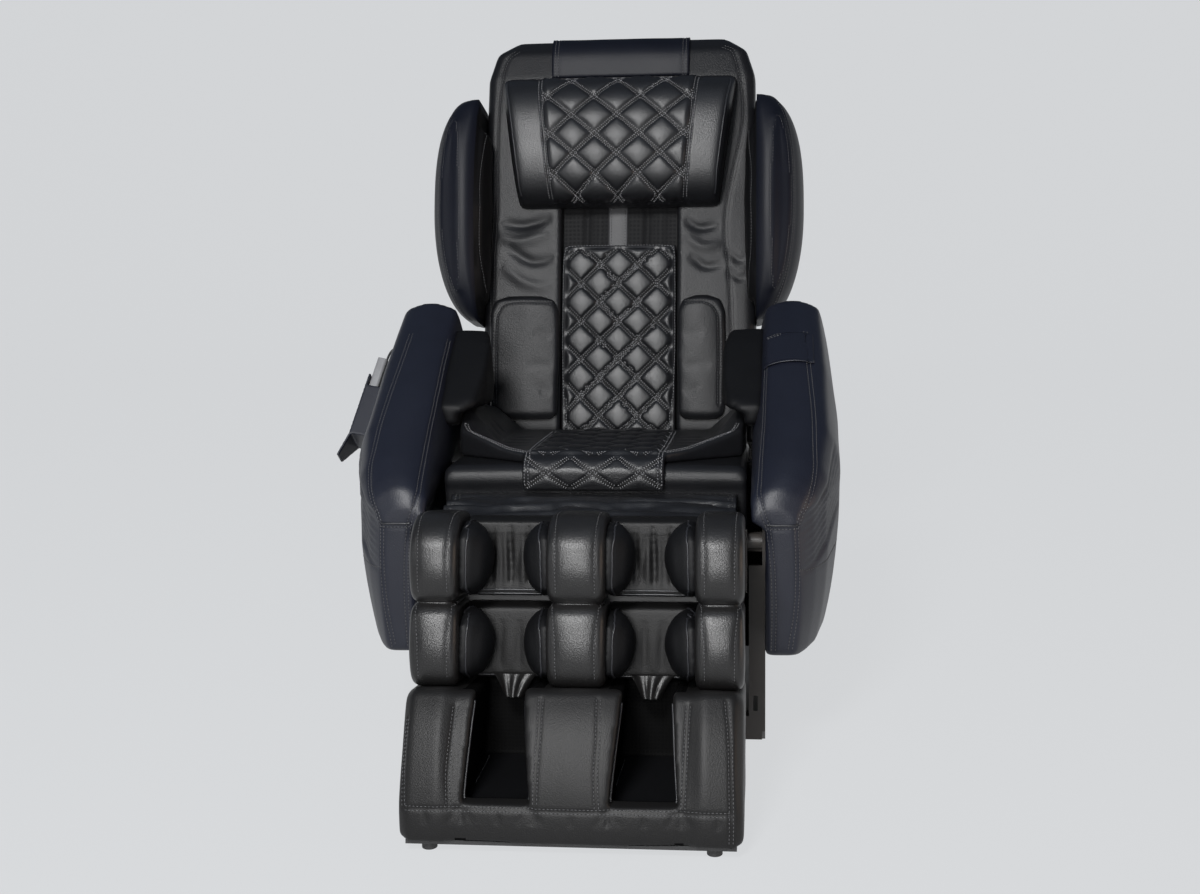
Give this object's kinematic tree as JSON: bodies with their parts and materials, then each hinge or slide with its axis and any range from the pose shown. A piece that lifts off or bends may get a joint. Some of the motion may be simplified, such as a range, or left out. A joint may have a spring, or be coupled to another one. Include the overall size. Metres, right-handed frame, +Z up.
{
  "type": "massage chair",
  "caption": "Padded recliner massage chair with quilted head pillow and back strip, shoulder wings, wide arms, a calf and foot massage unit and a wired handset in a side pocket.",
  "frame": {"origin": "on the floor under the middle of the whole chair's box", "axes": "+X to the right seen from in front, +Y from the feet towards the backrest, +Z up"},
  "size_m": [0.854, 1.2718, 1.1078],
  "materials": {
    "foam_leather": "satin grained black cover over foam",
    "quilted_leather": "satin grained black cover with diamond quilting",
    "soft_leather": "soft black cover",
    "pocket_leather": "soft black cover",
    "wing_cover": "smooth black cover on a rigid shell",
    "cloth": "black satin cloth",
    "base_paint": "satin black paint",
    "steel": "ground steel",
    "board": "plywood panel",
    "cord_rubber": "smooth black sheath",
    "handset_plastic": "satin grey",
    "button_plastic": "gloss red",
    "box_plastic": "matte black",
    "pump_metal": "cast aluminium",
    "inlet_plastic": "matte black",
    "switch_plastic": "gloss red",
    "motor_metal": "satin black",
    "wheel_rubber": "matte black",
    "shell_plastic": "textured black",
    "carriage_metal": "plain aluminium",
    "roller_plastic": "satin ivory",
    "glide_rubber": "matte black"
  },
  "bodies": {
    "base": {"base_frame": "base_paint", "hinge_shafts": "steel", "seat_pan": "base_paint", "seat_cushion": "foam_leather", "seat_overlay": "quilted_leather", "front_apron": "soft_leather", "arm_cover_left": "foam_leather", "arm_cover_right": "foam_leather", "arm_panel_left": "board", "arm_panel_right": "board", "arm_air_pad_left": "soft_leather", "arm_air_pad_right": "soft_leather", "remote_pocket": "pocket_leather", "cord_hank": "cord_rubber", "handset_cord": "cord_rubber", "control_box": "box_plastic", "air_pump": "pump_metal", "power_inlet": "inlet_plastic", "recline_motor": "motor_metal", "leg_motor": "motor_metal"},
    "handset": {"handset_case": "handset_plastic"},
    "button": {"handset_button": "button_plastic"},
    "switch": {"power_switch": "switch_plastic"},
    "recline_rod": {"recline_rod": "steel"},
    "leg_rod": {"leg_rod": "steel"},
    "wheel_left": {"rear_wheel_left": "wheel_rubber"},
    "wheel_right": {"rear_wheel_right": "wheel_rubber"},
    "back": {"back_frame": "base_paint", "back_shell": "shell_plastic", "back_cushion": "foam_leather", "roller_cloth": "cloth", "back_quilt": "quilted_leather", "lumbar_pad_left": "foam_leather", "lumbar_pad_right": "foam_leather", "top_flap": "soft_leather", "wing_shell_left": "wing_cover", "wing_shell_right": "wing_cover", "wing_pad_left": "soft_leather", "wing_pad_right": "soft_leather", "lift_motor": "motor_metal"},
    "pillow": {"head_pillow": "quilted_leather"},
    "screw": {"lift_screw": "steel"},
    "carriage": {"carriage": "carriage_metal"},
    "massage_arm_left": {"massage_arm_left": "carriage_metal"},
    "massage_arm_right": {"massage_arm_right": "carriage_metal"},
    "roller_upper_left": {"roller_upper_left": "roller_plastic"},
    "roller_upper_right": {"roller_upper_right": "roller_plastic"},
    "roller_lower_left": {"roller_lower_left": "roller_plastic"},
    "roller_lower_right": {"roller_lower_right": "roller_plastic"},
    "leg": {"leg_frame": "base_paint", "calf_shell": "shell_plastic", "calf_pads_left": "foam_leather", "calf_pads_middle": "foam_leather", "calf_pads_right": "foam_leather", "calf_air_leaves": "soft_leather", "calf_lining": "soft_leather"},
    "foot": {"foot_cover": "foam_leather", "foot_shell": "shell_plastic", "foot_glides": "glide_rubber"},
    "foot_rollers": {"foot_rollers": "roller_plastic"}
  },
  "joints": [
    {"name": "back_recline", "type": "hinge", "parent": "base", "child": "back", "pos_m": [0.03786, 0.26368, 0.33], "axis": [-1, 0, 0], "range_deg": [0, 45]},
    {"name": "leg_lift", "type": "hinge", "parent": "base", "child": "leg", "pos_m": [0.03786, -0.24132, 0.34], "axis": [-1, 0, 0], "range_deg": [0, 70], "deforming": ["front_apron"]},
    {"name": "foot_slide", "type": "slide", "parent": "leg", "child": "foot", "axis": [0, -0.225, -0.9744], "range_m": [0, 0.12], "stiffness_N_per_m": 600, "springref_m": -0.12},
    {"name": "foot_roller_spin", "type": "hinge", "parent": "foot", "child": "foot_rollers", "pos_m": [0.03786, -0.51163, 0.036], "axis": [-1, 0, 0], "continuous": true},
    {"name": "pillow_flip", "type": "hinge", "parent": "back", "child": "pillow", "pos_m": [0.03786, 0.43857, 1.03654], "axis": [-1, 0, 0], "range_deg": [0, 80]},
    {"name": "recline_rod_slide", "type": "slide", "parent": "base", "child": "recline_rod", "axis": [0, -1, 0], "range_m": [0, 0.0715]},
    {"name": "leg_rod_slide", "type": "slide", "parent": "base", "child": "leg_rod", "axis": [0, -1, 0], "range_m": [0, 0.0925]},
    {"name": "carriage_lift", "type": "slide", "parent": "back", "child": "carriage", "axis": [0, 0.309, 0.9511], "range_m": [0, 0.38]},
    {"name": "screw_turn", "type": "hinge", "parent": "back", "child": "screw", "pos_m": [0.03786, 0.34923, 0.30851], "axis": [0, 0.309, 0.9511], "range_deg": [0, 6900]},
    {"name": "rear_wheel_left_spin", "type": "hinge", "parent": "base", "child": "wheel_left", "pos_m": [-0.21614, 0.27168, 0.031], "axis": [-1, 0, 0], "continuous": true},
    {"name": "rear_wheel_right_spin", "type": "hinge", "parent": "base", "child": "wheel_right", "pos_m": [0.29186, 0.27168, 0.031], "axis": [-1, 0, 0], "continuous": true},
    {"name": "power_rocker", "type": "hinge", "parent": "base", "child": "switch", "pos_m": [0.05786, 0.21768, 0.115], "axis": [-1, 0, 0], "range_deg": [0, 14]},
    {"name": "handset_lift", "type": "slide", "parent": "base", "child": "handset", "axis": [0.199, 0.6122, 0.7653], "range_m": [0, 0.12], "deforming": ["handset_cord"]},
    {"name": "handset_press", "type": "slide", "parent": "handset", "child": "button", "axis": [0.98, -0.1243, -0.1554], "range_m": [0, 0.0015], "stiffness_N_per_m": 400, "springref_m": -0.001},
    {"name": "massage_arm_left_swing", "type": "hinge", "parent": "carriage", "child": "massage_arm_left", "pos_m": [-0.01414, 0.34458, 0.46249], "axis": [-1, 0, 0], "range_deg": [-12, 12]},
    {"name": "roller_upper_left_spin", "type": "hinge", "parent": "massage_arm_left", "child": "roller_upper_left", "pos_m": [-0.03164, 0.33726, 0.51113], "axis": [-1, 0, 0], "continuous": true},
    {"name": "roller_lower_left_spin", "type": "hinge", "parent": "massage_arm_left", "child": "roller_lower_left", "pos_m": [-0.03164, 0.31006, 0.42744], "axis": [-1, 0, 0], "continuous": true},
    {"name": "massage_arm_right_swing", "type": "hinge", "parent": "carriage", "child": "massage_arm_right", "pos_m": [0.08986, 0.34458, 0.46249], "axis": [-1, 0, 0], "range_deg": [-12, 12]},
    {"name": "roller_upper_right_spin", "type": "hinge", "parent": "massage_arm_right", "child": "roller_upper_right", "pos_m": [0.10736, 0.33726, 0.51113], "axis": [-1, 0, 0], "continuous": true},
    {"name": "roller_lower_right_spin", "type": "hinge", "parent": "massage_arm_right", "child": "roller_lower_right", "pos_m": [0.10736, 0.31006, 0.42744], "axis": [-1, 0, 0], "continuous": true}
  ],
  "couplings": [
    {"joint": "recline_rod_slide", "follows": "back_recline", "m_per_rad": 0.09},
    {"joint": "leg_rod_slide", "follows": "leg_lift", "m_per_rad": 0.0751},
    {"joint": "screw_turn", "follows": "carriage_lift", "rad_per_m": 314.16}
  ]
}
